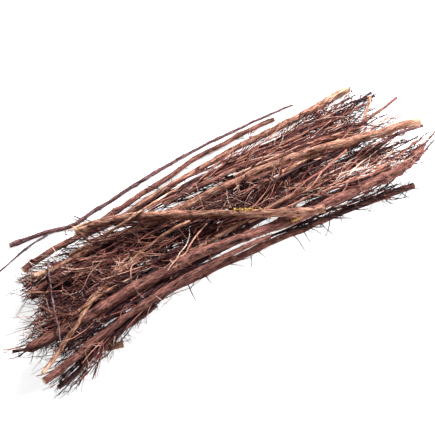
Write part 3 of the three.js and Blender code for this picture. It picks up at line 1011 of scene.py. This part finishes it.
# %% Make the sticks
SEEN_SIDES, PLAIN_SIDES = 22, 14
SEEN_STEP, HIDDEN_STEP = 1.8 * MM, 3.0 * MM
THIN_STICK = 1.6 * MM
SEED_STEP = 37.0
SIDE_TWIGS = {"front_stick": 0.9, "near_edge_stick": 0.1, "near_inner_stick": 0.9, "far_stick_1": 0.5}
STICK_TONES = {"red_bark": 0.42, "orange_bark": 0.55, "dark_bark": 0.25, "tan_bark": 0.7, "grey_bark": 0.3}


def stick_piece(node, number):
    route, radii = stick_routes[node]
    tone = STICK_TONES[SLOT_OF[node]]
    hidden = node.startswith(HIDDEN)
    if node == "front_stick":
        radii = broken_front_stick(route, radii)
    swollen, thin = with_knots(node, route, radii, tone)
    torn = FRAYED.get(node, [])
    for end in torn:
        thin += frayed_end(route, radii, end)
    if node in LICHEN:
        thin += lichen_tuft(route, radii, *LICHEN[node])
    if node == "near_edge_stick":
        thin += loose_hairs(route, radii)
    if not hidden:
        thin += twigs_on([(route, swollen, tone)], "shred")
    if node in SIDE_TWIGS:
        thin += twigs_on([(route, swollen, tone)], "fine", SIDE_TWIGS[node])
    piece = route_object(node + "_bark", [(route, swollen, bareness(route, torn))] + thin)
    values = {
        "Sides": PLAIN_SIDES if hidden or radii.mean() < THIN_STICK else SEEN_SIDES,
        "Ring Step": HIDDEN_STEP if hidden else SEEN_STEP,
        "Seed": SEED_STEP * number,
        "Bark": BARKS[SLOT_OF[node]],
        "Cut Wood": CUT_WOOD,
        "Twig Bark": TWIG_BARK,
    }
    shaped(piece, BARK_TUBE, values)
    hand_over(piece, node)
    return piece


stick_pieces = [stick_piece(node, number) for number, node in enumerate(STICKS)]
print("stick triangles:", sum(map(triangle_count, stick_pieces)))

# %% [markdown]
# ## The sprays
# Every spray carries branchlets and fine twigs, except the forked twig, which carries fine twigs
# only. Those that lie open also get hairs, the left ones dark wisps at their tips, and the middle
# and left ones curly hairs that stand across the others.

# %% Sprays
# A tone for each group of sprays, partly their own colour and partly painted light: the far and right ones
# are lighter, as the light falls on that end, and the inner and left ones are darker, as painted shade.
SPRAY_TONES_WITH_PAINTED_LIGHT = {
    "inner": 0.12, "far": 0.58, "right": 0.57, "left": 0.2, "near": 0.38, "middle": 0.38, "forked": 0.62,
}
HAIRS = {"far": 0.5, "right": 0.5, "left": 0.6, "near": 0.9, "middle": 0.9}
CURLS = {"left": 0.8, "near": 0.5, "middle": 1.6, "far": 0.2}
BRANCHLETS = {"inner": 1.6, "left": 2.0, "near": 1.2, "middle": 1.2}
FINE = {"inner": 0.7, "left": 0.7}
PALE_CURL = 0.75
DARK_WISP = 0.0
STRAND_WANDER = 0.6 * MM
STRAND_WANDER_EVERY = 16 * MM
THICKER = {"left": 1.35, "near": 1.2, "middle": 1.15}


def in_tone(twigs, tone):
    return [(points, radii, tone) for points, radii, _ in twigs]


def twigs_of(group, strands):
    if group == "forked":
        return twigs_on(strands, "fine")
    branchlets = twigs_on(strands, "branchlet", BRANCHLETS.get(group, 1.0))
    if group == "inner":
        return branchlets + twigs_on(branchlets, "fine", FINE[group])
    fine = twigs_on(strands + branchlets, "fine", FINE.get(group, 1.0))
    twigs = branchlets + fine + twigs_on(fine, "hair", HAIRS[group])
    if group in CURLS:
        twigs += twigs_on(in_tone(strands + branchlets, PALE_CURL), "curly", CURLS[group])
    if group == "left":
        twigs += twigs_on(in_tone(strands + branchlets, DARK_WISP), "wisp")
    return twigs


def spray_piece(node):
    group = node.split("_")[0]
    strands = []
    for route, radii in strands_of[node]:
        crooked = wander(route, STRAND_WANDER, STRAND_WANDER_EVERY)
        tone = own_tone(SPRAY_TONES_WITH_PAINTED_LIGHT[group], 0.0)
        strands.append((crooked, radii * THICKER.get(group, 1.0), tone))
    piece = route_object(node + "_twigs", strands + twigs_of(group, strands))
    shaped(piece, TWIG_TUBE, {"Twig Bark": TWIG_BARK})
    hand_over(piece, node)
    return piece


spray_pieces = [spray_piece(node) for node in SPRAYS]
counts = [triangle_count(piece) for piece in spray_pieces]
print("spray triangles:", sum(counts), "most:", max(counts))

# %% [markdown]
# ## Floor and light
# The bundle lies on a plain white floor, which glows a little so that shadows stay pale, as on a
# light table. A soft light above and behind it brightens the upper sides of the sticks. A weaker
# one at the front right lifts the near edge, and a white sky fills the rest.

# %% Floor and light
FLOOR_HALF = 4.0
FLOOR_GLOW = 0.85
SKY_STRENGTH = 0.1
WHITE = (1.0, 1.0, 1.0, 1.0)
DAYLIGHT = (0.94, 0.965, 1.0)


def soft_light(name, place, size, power):
    data = bpy.data.lights.new(name, "AREA")
    data.shape = "DISK"
    data.size = size
    data.energy = power
    data.color = DAYLIGHT
    lamp = bpy.data.objects.new(name, data)
    lamp.location = place
    lamp.rotation_euler = (-Vector(place)).to_track_quat("-Z", "Y").to_euler()
    bpy.context.scene.collection.objects.link(lamp)


def floor_piece():
    mesh = bpy.data.meshes.new("floor")
    corners = [(FLOOR_HALF * x, FLOOR_HALF * y, 0) for x, y in ((-1, -1), (1, -1), (1, 1), (-1, 1))]
    mesh.from_pydata(corners, [], [(0, 1, 2, 3)])
    floor = bpy.data.objects.new("floor", mesh)
    bpy.context.scene.collection.objects.link(floor)
    material, _, shader = new_material("pale_floor")
    shader.inputs["Base Color"].default_value = colour("d0d0d0")
    shader.inputs["Roughness"].default_value = 0.9
    shader.inputs["Emission Color"].default_value = WHITE
    shader.inputs["Emission Strength"].default_value = FLOOR_GLOW
    mesh.materials.append(material)


floor_piece()
soft_light("key_light", place=(0.95, 0.5, 1.05), size=0.5, power=80.0)
soft_light("front_light", place=(0.6, -0.5, 0.45), size=0.3, power=5.0)
world = bpy.data.worlds.new("white_sky")
world.use_nodes = True
sky = world.node_tree.nodes["Background"]
sky.inputs["Color"].default_value = WHITE
sky.inputs["Strength"].default_value = SKY_STRENGTH
bpy.context.scene.world = world
bpy.context.scene.view_settings.view_transform = "Standard"
print("lights:", [lamp.name for lamp in bpy.data.lights])

# %% [markdown]
# ## Camera
# The camera looks down at the bundle from the front left, from far away and through a long lens, so
# that the far end looks nearly as large as the near one.

# %% Camera
EYE_AZIMUTH = math.radians(-30)
EYE_ELEVATION = math.radians(50)
EYE_DISTANCE = 1208 * MM
EYE_TARGET = Vector((-10.435, -12.644, 30.0)) * MM
LENS = 100.0
SENSOR_WIDTH = 36.0

camera = bpy.data.objects.new("camera", bpy.data.cameras.new("camera"))
bpy.context.scene.collection.objects.link(camera)
camera.data.lens = LENS
camera.data.sensor_width = SENSOR_WIDTH
back = Vector((
    math.sin(EYE_AZIMUTH) * math.cos(EYE_ELEVATION),
    -math.cos(EYE_AZIMUTH) * math.cos(EYE_ELEVATION),
    math.sin(EYE_ELEVATION),
))
camera.location = EYE_TARGET + back * EYE_DISTANCE
camera.rotation_euler = (-back).to_track_quat("-Z", "Y").to_euler()
bpy.context.scene.camera = camera
print("camera at", [round(c, 3) for c in camera.location])
